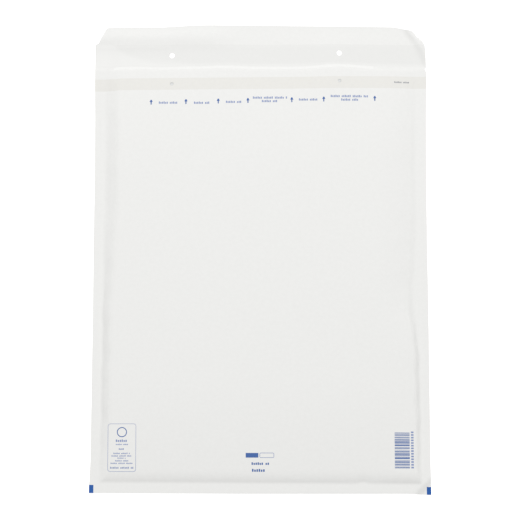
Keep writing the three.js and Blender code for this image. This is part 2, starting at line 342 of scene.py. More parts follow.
# Bar code near the right bottom corner, turned on its side. Its bars and gaps have three widths, and two
# orders, each a step and a cycle, mix them up.
BARS_LEFT = 145.2 * MM
BARS_RIGHT = 161.4 * MM
BARS_LOW = 27.6 * MM
BARS_HIGH = 66.1 * MM
BAR_MODULE = 0.405 * MM
BAR_WIDTHS = 3
BAR_ORDER = (7, 11)
BAR_GAP_ORDER = (5, 7)
DIGIT_PITCH = 2.9 * MM
DIGIT_LEFT = 162.9 * MM
DIGIT_RIGHT = 165.7 * MM
DIGIT_SHARE = 0.6

# Marks in the bottom corners, and a small code on the right below the fold
MARK_WIDTH = 4.8 * MM
MARK_HEIGHT = 8.7 * MM
SIDE_CODE_ENDS = (149.8 * MM, 166.6 * MM)
SIDE_CODE_FROM_FOLD = 18.6 * MM
SIDE_CODE_HEIGHT = 2 * MM
SIDE_CODE_LETTER = 1.4 * MM

# Colours. Where there are two shades, the colour wanders between them.
PAPER_SHADES = ((0.79, 0.79, 0.775), (0.83, 0.83, 0.815))
# The worn shades are lighter than the paper: partly whitening by the fold, partly a painted highlight
WORN_HIGHLIGHT_SHADES = ((0.825, 0.825, 0.81), (0.86, 0.86, 0.845))
LINER_SHADES = ((0.765, 0.765, 0.75), (0.79, 0.79, 0.775))
# Painted light: the liner's lighter shade where the flap catches more light
LIT_LINER_SHADE = (0.805, 0.805, 0.79)
BAND_TINT = (0.95, 0.94, 0.918)
FILM_SHADES = ((0.76, 0.77, 0.76), (0.84, 0.85, 0.84))
ADHESIVE_SHADES = ((0.8, 0.75, 0.58), (0.86, 0.82, 0.68))
BLUE_SHADES = ((0.05, 0.12, 0.34), (0.07, 0.15, 0.4))
PALE_BLUE_SHADES = ((0.22, 0.28, 0.48), (0.27, 0.33, 0.54))
BRIGHT_BLUE_SHADES = ((0.014, 0.09, 0.34), (0.02, 0.11, 0.39))
GREY_SHADES = ((0.26, 0.27, 0.3), (0.32, 0.33, 0.36))

# Surfaces. A mottle has its patches to the metre and its layers of detail,
# and a grain has its grains to the metre and its depth.
PAPER_MOTTLE = (260, 6)
PAPER_GRAIN = (900, 0.02 * MM)
PAPER_ROUGHNESS = 0.7
WORN_ROUGHNESS = 0.8
LINER_ROUGHNESS = 0.6
PAPER_SHEEN = 0.25
FILM_MOTTLE = (40, 2)
FILM_GRAIN = (300, 0.05 * MM)
ADHESIVE_MOTTLE = (150, 3)
ADHESIVE_GRAIN = (400, 0.03 * MM)
INK_MOTTLE = (900, 4)
GRAIN_DETAIL = 4
GRAIN_STRENGTH = 0.3

# Camera of the photograph's view. The sensor and the lens are in millimetres.
CAMERA_ELEVATION = math.radians(77)
CAMERA_DISTANCE = 2.802
CAMERA_AIM = (-LEAN / 2, -6.06 * MM, 4 * MM)
CAMERA_SENSOR = 36
CAMERA_LENS = 176.2

# Studio
FLOOR_SIZE = 12
FLOOR_SHADE = (0.9, 0.9, 0.9)
FLOOR_GLOW = 0.5
WHITE = (1, 1, 1)
SKY_STRENGTH = 0.52
TOP_LIGHT_PLACE = (0.02, 1.4, 3.6)
TOP_LIGHT_SIZE = 1.6
TOP_LIGHT_POWER = 88

# Fineness of the paper
SEAM_COLUMNS = 5
SHOULDER_COLUMNS = 26
SHOULDER_ZONE = 48 * MM
FLAT_PITCH = 3.5 * MM
FINE_PITCH = 1.4 * MM
ROW_PITCH = 4 * MM
SEAM_PITCH = 2 * MM
MOUTH_PITCH = 1 * MM
FLAP_PITCH = 2 * MM
STEP_RISE = 0.4 * MM
ROUND_ROWS = 6
SHARP_ANGLE = math.radians(50)


def swell(t, foot=1):
    """Rise from 0 to 1 that rounds over at its top. A foot above 1 eases its start as well."""
    return np.sin(np.clip(t, 0, 1) ** foot * math.pi / 2)


def smooth(t):
    """Rise from 0 to 1 that eases at both ends."""
    t = np.clip(t, 0, 1)
    return t * t * (3 - 2 * t)


def bell(t):
    """A bump of height 1 at 0 that fades out on both sides."""
    return np.exp(-t * t)


def edges(y):
    """Left and right edge of the paper, which the swell draws in between its ends."""
    drawn = WAIST * smooth(y / WAIST_FROM_BOTTOM) * smooth((BODY - y) / WAIST_FROM_FOLD)
    flare = MOUTH_FLARE * smooth((y - BODY) / MOUTH_FLARE_LENGTH + 1)
    sway = SWAY * smooth((SWAY_FROM - y) / SWAY_LENGTH)
    lean = LEAN * (np.clip(y / BODY, 0, 1) - 0.5) + sway
    notch = NOTCH * bell((y - BODY) / NOTCH_SPREAD)
    nip = RIGHT_NIP * (1 - smooth(y / WAIST_FROM_BOTTOM))
    half = WIDTH / 2 - drawn + flare
    return lean - half, lean + half - nip - notch


def borders(y):
    """Inner borders of the two sealed sides, a little uneven."""
    left, right = edges(y)
    short, long = BORDER_WAVE_LENGTHS
    wave = BORDER_WAVE * np.sin(2 * math.pi * y / short) * np.sin(2 * math.pi * y / long)
    wander = RIGHT_WANDER * bell((y - RIGHT_WANDER_AT) / RIGHT_WANDER_SPREAD)
    take = LEFT_TAKE * (1 - smooth(y / LEFT_TAKE_LENGTH))
    return left + SIDE_SEAM - take + wave, right - SIDE_SEAM - wander + wave


def corner_curl(x, y):
    """How far the bottom right corner curls down."""
    past = (x - CURL_START[0]) * CURL_WAY[0] + (y - CURL_START[1]) * CURL_WAY[1]
    return np.clip(CURL_SLOPE * past, 0, CURL_MOST)


def left_swell(x, y):
    """Rise of the front panel beside the left seam, gentler towards the mouth."""
    gentle = smooth((y - LEFT_EASE_FROM) / (LEFT_EASE_FULL - LEFT_EASE_FROM))
    shoulder = LEFT_SHOULDER_BOTTOM + (LEFT_SHOULDER_TOP - LEFT_SHOULDER_BOTTOM) * gentle
    foot = LEFT_FOOT_BOTTOM + (LEFT_FOOT_TOP - LEFT_FOOT_BOTTOM) * gentle
    return swell((x - borders(y)[0]) / shoulder, foot)


def right_ease(x, y):
    """Slow part of the rise beside the right seam, all of the rise near the mouth."""
    gentle = smooth((y - RIGHT_EASE_FROM) / (RIGHT_EASE_FULL - RIGHT_EASE_FROM))
    share = RIGHT_EASE_SHARE_BOTTOM + (1 - RIGHT_EASE_SHARE_BOTTOM) * gentle
    return 1 - share * (1 - swell((borders(y)[1] - x) / RIGHT_EASE))


def swell_across(x, y):
    """Share of the front panel's swell between its two sealed sides."""
    right = swell((borders(y)[1] - x) / RIGHT_SHOULDER)
    return np.minimum(left_swell(x, y), right) * right_ease(x, y)


def bottom_swell(y):
    """Rise of the front panel above the bottom seam: steepest at the seam's border."""
    return 1 - (1 - np.clip((y - BOTTOM_SEAM) / BOTTOM_SHOULDER, 0, 1)) ** 3


def bottom_ease(x, y):
    """Slow part of the rise above the bottom seam, less of it in the fuller right corner."""
    right = smooth((x - WIDTH / 2) / BOTTOM_EASE_RIGHT_LENGTH + 1)
    share = BOTTOM_EASE_SHARE + (BOTTOM_EASE_SHARE_RIGHT - BOTTOM_EASE_SHARE) * right
    return 1 - share * (1 - swell((y - BOTTOM_SEAM) / BOTTOM_EASE))


def gape(x):
    """How far the mouth stands up where it gapes."""
    return GAPE * bell((x - GAPE_AT) / GAPE_SPREAD)


def fold_rise(x):
    return FOLD_RISE * swell((WIDTH / 2 - np.abs(x)) / FOLD_RISE_SHOULDER)


def front_height(x, y):
    """Outer face of the front panel, which sinks towards the mouth and turns down at its edge."""
    full = PUFF - SEAM_TOP + CROWN * np.cos(math.pi * x / WIDTH)
    sink = np.clip((y - BODY) / MOUTH_SINK_LENGTH + 1, 0, 1) ** 2
    turn = np.clip((y - BODY) / MOUTH_TURN + 1, 0, 1) ** 2
    closed = MOUTH_SINK_SHARE * sink + (1 - MOUTH_SINK_SHARE) * turn
    opened = gape(x) * smooth((y - BODY) / GAPE_LENGTH + 1)
    rise = full + (fold_rise(x) + MOUTH_GAP - full) * closed + opened
    share = np.minimum(swell_across(x, y), bottom_swell(y) * right_ease(x, y)) * bottom_ease(x, y)
    return SEAM_TOP + share * rise - corner_curl(x, y)


def front_face(x, y):
    """Outer face of the front panel's paper, which is pressed thin along the mouth."""
    return front_height(x, y) - LIP_THINNING * np.clip((y - BODY) / LIP_THINNING_LENGTH + 1, 0, 1)


def corner_bend(x, out):
    """Ridge along the bent corner's crease, and the drop of its tip."""
    along = np.subtract(CREASE_END, CREASE_TOP)
    along = along / np.linalg.norm(along)
    past = -along[1] * (x - CREASE_TOP[0]) + along[0] * (out - CREASE_TOP[1])
    ridge = CREASE_RIDGE * bell(past / CREASE_WIDTH)
    droop = CORNER_DROOP * (np.maximum(past, 0) / CORNER_REACH) ** 2
    return (ridge - droop) * smooth(out / FLAP_DIP_AT)


def fold_level(x):
    """Underside of the fold between the back panel and the flap."""
    return SEAM_LIFT + swell_across(x, BODY) * (fold_rise(x) + gape(x))


def flap_height(x, out):
    """Underside of the open flap, at a distance beyond the fold."""
    start = fold_level(x)
    left = smooth((LEFT_DIP_END - x) / LEFT_DIP_BLEND)
    to_dip = np.clip(out / (FLAP_DIP_AT + LEFT_DIP_LONGER * left), 0, 1)
    dip = (FLAP_DIP + LEFT_DIP_MORE * left) * to_dip * (2 - to_dip)
    fallen = smooth((out - LIP_FALL_FROM) / (FLAP - LIP_FALL_FROM))
    fall = (LIP_FALL + (start - SEAM_LIFT) / 2) * fallen
    bump = LIP_SWELL * bell((out - LIP_SWELL_AT) / LIP_SWELL_SPREAD)
    bump = bump * smooth((LIP_SWELL_END - x) / LIP_SWELL_BLEND)
    return np.maximum(start - dip - fall + bump + corner_bend(x, out), 0)


def back_height(x, y):
    """Underside of the back panel and of the flap that it runs on into."""
    left, right = borders(y)
    across = swell((x - left) / BACK_SHOULDER) * swell((right - x) / BACK_SHOULDER)
    bottom = swell((y - BOTTOM_SEAM) / BACK_SHOULDER)
    mouth = swell((BODY - y) / LINING_SETBACK)
    panel = SEAM_LIFT * (1 - across * bottom * mouth) + (fold_level(x) - SEAM_LIFT) * (1 - mouth)
    panel = np.maximum(panel - corner_curl(x, y), 0)
    return np.where(y > BODY, flap_height(x, np.maximum(y - BODY, 0)), panel)


def bottom_shift(x, y):
    """How far the bottom strays: its edge tilts and sags, and its seam's border tilts and puckers."""
    edge = EDGE_TILT * np.maximum(-x, 0) - EDGE_SAG * smooth((x - WIDTH / 2) / EDGE_SAG_LENGTH + 1)
    border = PUCKER * bell((x - PUCKER_AT) / PUCKER_SPREAD) - BORDER_TILT * x
    stray = edge + (border - edge) * np.clip(y / BOTTOM_SEAM, 0, 1)
    return stray * (1 - smooth((y - BOTTOM_SEAM) / BOTTOM_SHIFT_REACH))


def fold_shift(x, y):
    """How far the fold strays from a straight line. It bulges out most over the gape."""
    stray = -FOLD_SAG
    for place, spread_here, bulge in FOLD_BULGES:
        stray = stray + bulge * bell((x - place) / spread_here)
    return stray * bell((y - BODY) / FOLD_REACH)


def flap_trim(x, y):
    """How far the flap is trimmed, which grows towards its free edge. Its peak reaches out instead."""
    spread_here = np.where(x < LIP_PEAK, LIP_TRIM_LEFT, LIP_TRIM_RIGHT)
    lip = LIP_TRIM - (LIP_TRIM + LIP_REACH) * bell((x - LIP_PEAK) / spread_here)
    corner = CORNER_TRIM * smooth((x - CORNER_TRIM_FROM) / CORNER_TRIM_LENGTH)
    return (lip + corner) * smooth((y - BODY - CORNER_START) / (FLAP - CORNER_START))


def placed(x, y, level):
    """Points at places on the straight sheet, moved to where the sheet strays to."""
    moved = y + bottom_shift(x, y) + fold_shift(x, y) - flap_trim(x, y)
    return np.stack([x, BOTTOM_Y + moved, level], axis=-1)


def spread(start, stop, pitch):
    """Even steps of about a pitch from a start up to, but without, a stop."""
    count = max(1, round(abs(stop - start) / pitch))
    return np.linspace(start, stop, count, endpoint=False)


def spread_whole(start, stop, pitch):
    return np.append(spread(start, stop, pitch), stop)


def quads(grid, flip):
    """Faces over a grid of point numbers."""
    corners = (grid[:-1, :-1], grid[:-1, 1:], grid[1:, 1:], grid[1:, :-1])
    ordered = corners[::-1] if flip else corners
    return np.stack(ordered, axis=-1).reshape(-1, 4).tolist()


def wall(lower, upper, flip):
    """Faces between two rows of point numbers."""
    return quads(np.stack([lower, upper]), flip)


def slab(x, y, lower, upper):
    """Points and faces of a closed slab between two heights over a grid of places."""
    bottom = np.arange(x.size).reshape(x.shape)
    top = bottom + x.size
    points = [placed(x, y, level).reshape(-1, 3) for level in (lower, upper)]
    faces = quads(top, False) + quads(bottom, True)
    faces += wall(bottom[0], top[0], False) + wall(bottom[-1], top[-1], True)
    faces += wall(bottom[:, 0], top[:, 0], True) + wall(bottom[:, -1], top[:, -1], False)
    return np.concatenate(points), faces


def sack(rows, columns_at, seam_columns, seam_rows, body_rows, heights):
    """Points and faces of a sheet folded into a pocket with sealed margins and, past its mouth, a flap.

    heights gives the front's outer and inner face and the back's inner and outer face.
    The last two results are how many faces, from the first on, are the front's outer face, and a grid
    of the numbers of the faces on the flap's inner face, row by row from the fold.
    """
    x = np.array([columns_at(y) for y in rows])
    y = np.broadcast_to(rows[:, None], x.shape)
    columns = x.shape[1]
    mouth = body_rows - 1
    points = [placed(x, y, level(x, y)).reshape(-1, 3) for level in heights]
    front, front_in, back_in, back = np.arange(4 * x.size).reshape(4, *x.shape)
    left_seam = slice(0, seam_columns + 1)
    right_seam = slice(columns - seam_columns - 1, columns)
    pocket = slice(seam_columns, columns - seam_columns)
    for shared in (left_seam, right_seam):
        front_in[:, shared] = back_in[:, shared]
    front_in[: seam_rows + 1] = back_in[: seam_rows + 1]

    outside = quads(front[:body_rows], False)
    faces = outside + quads(back, True)
    faces += quads(front_in[seam_rows:body_rows, pocket], True)
    faces += quads(back_in[seam_rows:body_rows, pocket], False)
    flap_rows = len(rows) - body_rows
    flap_faces = np.arange(flap_rows * (columns - 1)).reshape(flap_rows, columns - 1) + len(faces)
    faces += quads(back_in[mouth:], False)
    faces += wall(back[0], front[0], False)
    faces += wall(back[-1], back_in[-1], True)
    faces += wall(front_in[mouth, pocket], front[mouth, pocket], True)
    for seam in (left_seam, right_seam):
        faces += wall(back_in[mouth, seam], front[mouth, seam], True)
    faces += sack_side(front[:, 0], back_in[:, 0], back[:, 0], mouth, True)
    faces += sack_side(front[:, -1], back_in[:, -1], back[:, -1], mouth, False)
    return *keep_used(np.concatenate(points), faces), len(outside), flap_faces


def sack_side(front, back_in, back, mouth, flip):
    """Faces along one side of a sack: up to its mouth, along the flap, and the corner between them."""
    faces = wall(back[:mouth], front[:mouth], flip)
    faces += wall(back[mouth:], back_in[mouth:], flip)
    corner = [back[mouth - 1], back[mouth], back_in[mouth], front[mouth], front[mouth - 1]]
    faces.append([int(i) for i in (corner[::-1] if flip else corner)])
    return faces


def keep_used(points, faces):
    """Drops the points that no face uses."""
    used = np.unique(np.concatenate(faces))
    new_number = np.zeros(len(points), dtype=int)
    new_number[used] = np.arange(len(used))
    return points[used], [new_number[face].tolist() for face in faces]


def joined(parts):
    """Points and faces of several meshes as one."""
    points = []
    faces = []
    first = 0
    for part_points, part_faces in parts:
        points.append(part_points)
        faces += [[i + first for i in face] for face in part_faces]
        first += len(part_points)
    return np.concatenate(points), faces


def make_object(name, points, faces, materials, face_materials=None):
    """A smooth mesh, with sharp edges only where it turns by more than the sharp angle."""
    mesh = bpy.data.meshes.new(name)
    mesh.from_pydata(points.tolist(), [], faces)
    for material in materials:
        mesh.materials.append(material)
    if face_materials is not None:
        mesh.polygons.foreach_set("material_index", face_materials)
    mesh.polygons.foreach_set("use_smooth", [True] * len(mesh.polygons))
    mesh.set_sharp_from_angle(angle=SHARP_ANGLE)
    made = bpy.data.objects.new(name, mesh)
    bpy.context.scene.collection.objects.link(made)
    return made


def add_piece(made, node=None):
    """Sets a piece on the envelope, and hides the solid that it stands for, if there is one."""
    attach(made, "root")
    if node:
        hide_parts(node)


def hole_places(from_fold, slant):
    """Middles of a pair of punched holes, on a line that slants."""
    sides = np.array([-1, 1]) * HOLE_SPACING / 2
    return np.stack([HOLE_OFFSET + sides, BODY + from_fold + slant * sides], axis=-1)


def punches(places, radius, from_level):
    """Cutters for a pair of punched holes, reaching upwards from a level."""
    made = []
    for x, y in places:
        bpy.ops.mesh.primitive_cylinder_add(
            vertices=HOLE_SIDES,
            radius=radius,
            depth=PUNCH_DEPTH,
            location=(x, BOTTOM_Y + y, from_level + PUNCH_DEPTH / 2),
        )
        made.append(bpy.context.object)
    return made


def front_hole_places():
    return hole_places(-FRONT_HOLE_FROM_FOLD, FRONT_HOLE_SLANT)


def flap_punches():
    places = hole_places(FLAP_HOLE_FROM_FOLD, FLAP_HOLE_SLANT)
    return punches(places, FLAP_HOLE_RADIUS, -PUNCH_DEPTH / 2)


def front_punches():
    return punches(front_hole_places(), FRONT_HOLE_RADIUS, PUFF / 2)


def cut(made, cutters):
    """Cuts the cutters out of an object's mesh and removes them."""
    for cutter in cutters:
        modifier = made.modifiers.new("punch", "BOOLEAN")
        modifier.operation = "DIFFERENCE"
        modifier.solver = "EXACT"
        modifier.object = cutter
    shown = made.evaluated_get(bpy.context.evaluated_depsgraph_get())
    made.data = bpy.data.meshes.new_from_object(shown)
    made.modifiers.clear()
    for cutter in cutters:
        bpy.data.objects.remove(cutter)
    made.data.set_sharp_from_angle(angle=SHARP_ANGLE)


def flap_edges(out):
    """Left and right edge of the flap. Both slant and round over; the left one steps in first."""
    left, right = edges(BODY + out)
    above = np.clip((out - CORNER_START) / (FLAP - CORNER_START), 0, 1)
    to_edge = np.clip(1 - (FLAP - out) / CORNER_ROUND, 0, 1)
    rounding = CORNER_ROUND * (1 - np.sqrt(1 - to_edge**2))
    stepped = CORNER_STEP * (above > 0) + CORNER_TAPER * above
    right_above = np.clip((out - RIGHT_CORNER_START) / (FLAP - RIGHT_CORNER_START), 0, 1)
    slanted = RIGHT_CORNER_TAPER * right_above
    slanted += RIGHT_FLAP_TAPER * np.clip(out / RIGHT_CORNER_START, 0, 1)
    return left + stepped + rounding, right - slanted - rounding


def paper_columns(y):
    """Columns across the paper at one height: seam, shoulder, flat, shoulder, seam."""
    left_edge, right_edge = edges(y)
    left, right = borders(y)
    flat = WIDTH / 2 - SHOULDER_ZONE
    columns = np.concatenate(
        [
            np.linspace(left_edge, left, SEAM_COLUMNS, endpoint=False),
            np.linspace(left, -flat, SHOULDER_COLUMNS, endpoint=False),
            spread(-flat, flat, FLAT_PITCH),
            np.linspace(flat, right, SHOULDER_COLUMNS, endpoint=False),
            np.linspace(right, right_edge, SEAM_COLUMNS + 1),
        ]
    )
    if y > BODY:
        flap_left, flap_right = flap_edges(y - BODY)
        columns = np.where(columns < -flat, drawn_in(columns, -flat, left_edge, flap_left), columns)
        columns = np.where(columns > flat, drawn_in(columns, flat, right_edge, flap_right), columns)
    return columns


def drawn_in(columns, start, old_end, new_end):
    """Columns spread anew from a start to another end."""
    return start + (columns - start) * (new_end - start) / (old_end - start)


def paper_rows():
    """Rows up the paper, and how many of them lie in the bottom seam and up to the mouth."""
    swell_end = BOTTOM_SEAM + BOTTOM_SHOULDER
    lining_end = BODY - LINING_SETBACK
    seam = spread(0, BOTTOM_SEAM, SEAM_PITCH)
    body = [
        seam,
        spread(BOTTOM_SEAM, swell_end, FINE_PITCH),
        spread(swell_end, lining_end, ROW_PITCH),
        spread_whole(lining_end, BODY, MOUTH_PITCH),
    ]
    flap = [
        spread(0, FLAP_DIP_AT, FINE_PITCH)[1:],
        spread(FLAP_DIP_AT, CORNER_START, FLAP_PITCH),
        [CORNER_START, CORNER_START + STEP_RISE],
        spread(CORNER_START + FLAP_PITCH, FLAP - CORNER_ROUND, FLAP_PITCH),
        FLAP - CORNER_ROUND * np.cos(np.linspace(0, math.pi / 2, ROUND_ROWS)),
    ]
    body = np.concatenate(body)
    return np.concatenate([body, BODY + np.concatenate(flap)]), len(seam), len(body)


def make_paper():
    rows, seam_rows, body_rows = paper_rows()
    heights = (
        front_face,
        lambda x, y: front_height(x, y) - PAPER,
        lambda x, y: back_height(x, y) + PAPER,
        back_height,
    )
    points, faces, front_faces, flap_faces = sack(
        rows, paper_columns, SEAM_COLUMNS, seam_rows, body_rows, heights
    )
    materials = [front_paper(), plain_paper(), worn_highlight_paper()]
    front, plain, worn_highlight = range(len(materials))
    worn_highlight_columns = slice(*np.searchsorted(paper_columns(BODY), FOLD_WEAR_HIGHLIGHT_ENDS))
    face_materials = np.full(len(faces), plain, dtype=np.int32)
    face_materials[:front_faces] = front
    # Worn paper beside the fold: roughened, and lighter as a painted highlight on the ridge
    face_materials[flap_faces[:FOLD_WEAR_HIGHLIGHT_ROWS, worn_highlight_columns]] = worn_highlight
    shell = make_object("paper_shell", points, faces, materials, face_materials)
    cut(shell, flap_punches() + front_punches())
    add_piece(shell, "paper_envelope")


def web_level(x, y, side, inside, least):
    """A face of the film's web: inside a panel, or near the middle where the panels close in."""
    y = np.minimum(y, BODY - LINING_SETBACK)
    front = front_height(x, y)
    back = back_height(x, y)
    return (front + back) / 2 + side * np.maximum((front - back) / 2 - inside, least)


def web_outside(x, y, side):
    return web_level(x, y, side, LAYERS - WEB, WEB + WEB_PARTING)


def web_inside(x, y, side):
    return web_level(x, y, side, LAYERS, WEB_PARTING)


def web_columns(y):
    left, right = borders(y)
    first = left + WEB_MARGIN
    last = right - WEB_MARGIN
    return np.concatenate(
        [
            np.linspace(left + CLEARANCE, first, WEB_MARGIN_STEPS, endpoint=False),
            np.linspace(first, last, WEB_COLUMNS, endpoint=False),
            np.linspace(last, right - CLEARANCE, WEB_MARGIN_STEPS + 1),
        ]
    )


def bubble_centres():
    """Places of the bubbles: rows half a pitch out of step with each other."""
    centres = []
    top = BODY - LINING_SETBACK - BUBBLE_RADIUS
    bottom = BOTTOM_SEAM + WEB_MARGIN + BUBBLE_RADIUS
    row_pitch = BUBBLE_PITCH * math.sqrt(3) / 2
    for number, y in enumerate(np.arange(top, bottom, -row_pitch)):
        left, right = borders(y)
        first = left + WEB_MARGIN + BUBBLE_RADIUS + (number % 2) * BUBBLE_PITCH / 2
        for x in np.arange(first, right - WEB_MARGIN - BUBBLE_RADIUS, BUBBLE_PITCH):
            centres.append((x, y))
    return np.array(centres)


def with_bubbles_at(holes, centres):
    """The centres with one right under each hole, and none that would cross those."""
    for hole in holes:
        centres = centres[np.hypot(*(centres - hole).T) > 2 * BUBBLE_RADIUS]
    return np.concatenate([centres, holes])


def dome_places():
    """Points of one dome, from its foot to its top: across, along and their share of its height."""
    turn = np.arange(BUBBLE_SIDES) * 2 * math.pi / BUBBLE_SIDES
    rings = []
    for radius_share, height in BUBBLE_RINGS:
        radius = radius_share * BUBBLE_RADIUS
        rings.append([radius * np.cos(turn), radius * np.sin(turn), np.full(BUBBLE_SIDES, height)])
    top = [[0], [0], [1]]
    return np.concatenate([*rings, top], axis=1)


def bubbles(side):
    """Closed domes on one layer's web, on the paper's side. Those under a hole press up into it."""
    holes = front_hole_places() if side > 0 else np.empty((0, 2))
    centres = with_bubbles_at(holes, bubble_centres())
    fullness = np.ones((len(centres), 1))
    fullness[len(centres) - len(holes):] = HOLE_FULLNESS
    across, along, height = dome_places()
    x = centres[:, :1] + across
    y = centres[:, 1:] + along
    foot = web_outside(x, y, side)
    panel = front_height(x, y) - PAPER if side > 0 else back_height(x, y) + PAPER
    room = (panel - foot) * side - BUBBLE_GAP
    roomy = room.min(axis=1) > BUBBLE_LEAST_ROOM
    points = placed(x, y, foot + side * height * room * fullness)[roomy]
    return points.reshape(-1, 3), bubble_faces(len(points), side > 0)


def bubble_faces(count, upwards):
    """Faces of a number of domes, each closed at its foot."""
    size = len(BUBBLE_RINGS) * BUBBLE_SIDES + 1
    ring = np.arange(size - 1).reshape(-1, BUBBLE_SIDES)
    closed = np.concatenate([ring, ring[:, :1]], axis=1)
    dome = quads(closed, False)
    dome += [[int(a), int(b), size - 1] for a, b in zip(closed[-1], closed[-1][1:])]
    dome.append(ring[0][::-1].tolist())
    if not upwards:
        dome = [face[::-1] for face in dome]
    return [[i + size * bubble for i in face] for bubble in range(count) for face in dome]


def make_lining():
    open_from = BOTTOM_SEAM + WEB_MARGIN
    margin = np.linspace(BOTTOM_SEAM + CLEARANCE, open_from, WEB_MARGIN_STEPS, endpoint=False)
    rows = np.concatenate([margin, spread_whole(open_from, BODY - LINING_SETBACK, WEB_PITCH)])
    heights = (
        lambda x, y: web_outside(x, y, 1),
        lambda x, y: web_inside(x, y, 1),
        lambda x, y: web_inside(x, y, -1),
        lambda x, y: web_outside(x, y, -1),
    )
    pouch = sack(rows, web_columns, WEB_MARGIN_STEPS, WEB_MARGIN_STEPS, len(rows), heights)[:2]
    points, faces = joined([pouch, bubbles(1), bubbles(-1)])
    lining = make_object("bubble_film", points, faces, [clear_film()])
    add_piece(lining, "bubble_lining")


def flap_strip(name, start, width, level_at, thickness, material):
    """A strip across the flap's inner face, following it at a height that its place decides."""
    side = WIDTH / 2 - STRIP_INSET
    across = spread_whole(-side, side, FLAT_PITCH / 2)
    out = spread_whole(start, start + width, FINE_PITCH)
    x, out = np.meshgrid(across, out)
    lower = flap_height(x, out) + PAPER + level_at(x, out)
    strip = make_object(name, *slab(x, BODY + out, lower, lower + thickness), [material])
    cut(strip, flap_punches())
    return strip


def liner_level(x, out):
    """Height of the liner over the flap: up on the adhesive, down beside it, creased on the left."""
    from_adhesive = np.maximum(ADHESIVE_START - out, out - ADHESIVE_START - ADHESIVE_WIDTH)
    crease = LINER_CREASE * smooth((LINER_CREASE_END - x) / LINER_CREASE_BLEND)
    crease = crease * smooth((out - LINER_CREASE_AT) / FINE_PITCH)
    over_adhesive = ADHESIVE_THICKNESS + STRIP_GAP + crease
    return STRIP_GAP + over_adhesive * (1 - smooth(from_adhesive / LINER_EDGE))


def make_closure_strip():
    adhesive = flap_strip(
        "closure_adhesive",
        ADHESIVE_START,
        ADHESIVE_WIDTH,
        lambda x, out: STRIP_GAP,
        ADHESIVE_THICKNESS,
        amber_adhesive(),
    )
    add_piece(adhesive, "adhesive_strip")
    liner = flap_strip(
        "closure_liner", LINER_START, LINER_WIDTH, liner_level, LINER_THICKNESS, liner_paper()
    )
    add_piece(liner, "release_liner")


def ink(x, y):
    """A thin slab of ink on the front panel over a grid of places."""
    level = front_height(x, y) + INK_GAP
    return slab(x, y, level, level + INK_THICKNESS)


def ink_bar(left, right, low, high):
    return ink(*np.meshgrid(spread_whole(left, right, INK_STEP), spread_whole(low, high, INK_STEP)))


def ink_taper(middle, low, high, low_width, high_width):
    """A bar whose width changes from its low to its high end."""
    up = np.array([[low, low], [high, high]])
    half = np.array([[low_width], [high_width]]) / 2
    return ink(middle + half * np.array([[-1, 1]]), up)


def ink_loop(path, line):
    """A line of ink along a closed path, given as places and the way out at each."""
    path = np.append(path, path[:, :1], axis=1)
    moved = np.hypot(*np.diff(path[:2], axis=1)) > SAME_PLACE
    path = path[:, np.append(moved, True)]
    runs = [spread_between(path[:, i], path[:, i + 1]) for i in range(path.shape[1] - 1)]
    x, y, out_x, out_y = np.concatenate([*runs, path[:, -1:]], axis=1)
    shift = np.array([-line / 2, line / 2])
    return ink(x[:, None] + out_x[:, None] * shift, y[:, None] + out_y[:, None] * shift)


def spread_between(start, stop):
    """Places in ink steps from a start up to, but without, a stop."""
    count = max(1, round(np.hypot(*(stop - start)[:2]) / INK_STEP))
    share = np.arange(count) / count
    return start[:, None] + (stop - start)[:, None] * share


def rounded_box(left, right, low, high, radius):
    """Path round a box with round corners, with the way out at each place."""
    turn = np.linspace(0, math.pi / 2, ROUND_CORNER_POINTS)
    middles = (
        (right - radius, high - radius),
        (left + radius, high - radius),
        (left + radius, low + radius),
        (right - radius, low + radius),
    )
    parts = []
    for number, (middle_x, middle_y) in enumerate(middles):
        angle = turn + number * math.pi / 2
        out = np.array([np.cos(angle), np.sin(angle)])
        parts.append(np.array([middle_x + radius * out[0], middle_y + radius * out[1], *out]))
    return np.concatenate(parts, axis=1)


def ink_words(left, right, low, height, letter):
    """A row of small blocks of uneven height, which stands for a line of words."""
    made = []
    for number, x in enumerate(np.arange(left, right - letter / 2, letter)):
        if number % LETTER_RUN == LETTER_RUN - 1:
            continue
        tall = height * (1 - LETTER_DROP * (-number % LETTER_SIZES))
        made.append(ink_bar(x, x + LETTER_FILL * letter, low, low + tall))
    return made


def word_lines(middle, lines):
    """Lines of words one above the other, on both sides of a middle."""
    made = []
    for low, half, height in lines:
        made += ink_words(middle - half, middle + half, low, height, LETTER_SHARE * height)
    return made


def print_piece(name, slabs, material):
    piece = make_object(name, *joined(slabs), [material])
    add_piece(piece)


def opening_line(x):
    return BODY - OPENING_LINE + OPENING_SLANT * x


def arrow(x):
    """A small arrow that points to the flap."""
    low = opening_line(x) - ARROW_HEIGHT / 2
    stem = ink_taper(x, low, low + STEM_HEIGHT, STEM_WIDTH, STEM_WIDTH)
    head = ink_taper(x, low + STEM_HEIGHT, low + ARROW_HEIGHT, ARROW_WIDTH, STEM_WIDTH)
    return [stem, head]


def opening_words(left, right, lines_up):
    low = opening_line((left + right) / 2) - WORD_HEIGHT / 2 + lines_up * WORD_LINE
    return ink_words(left, right, low, WORD_HEIGHT, WORD_LETTER)


def make_opening_print(blue, pale):
    arrows = []
    for place in ARROW_PLACES:
        arrows += arrow(place)
    print_piece("print_arrows", arrows, blue)
    words = []
    for left, right, lines_up in OPENING_WORDS:
        words += opening_words(left, right, lines_up)
    print_piece("print_opening_words", words, pale)


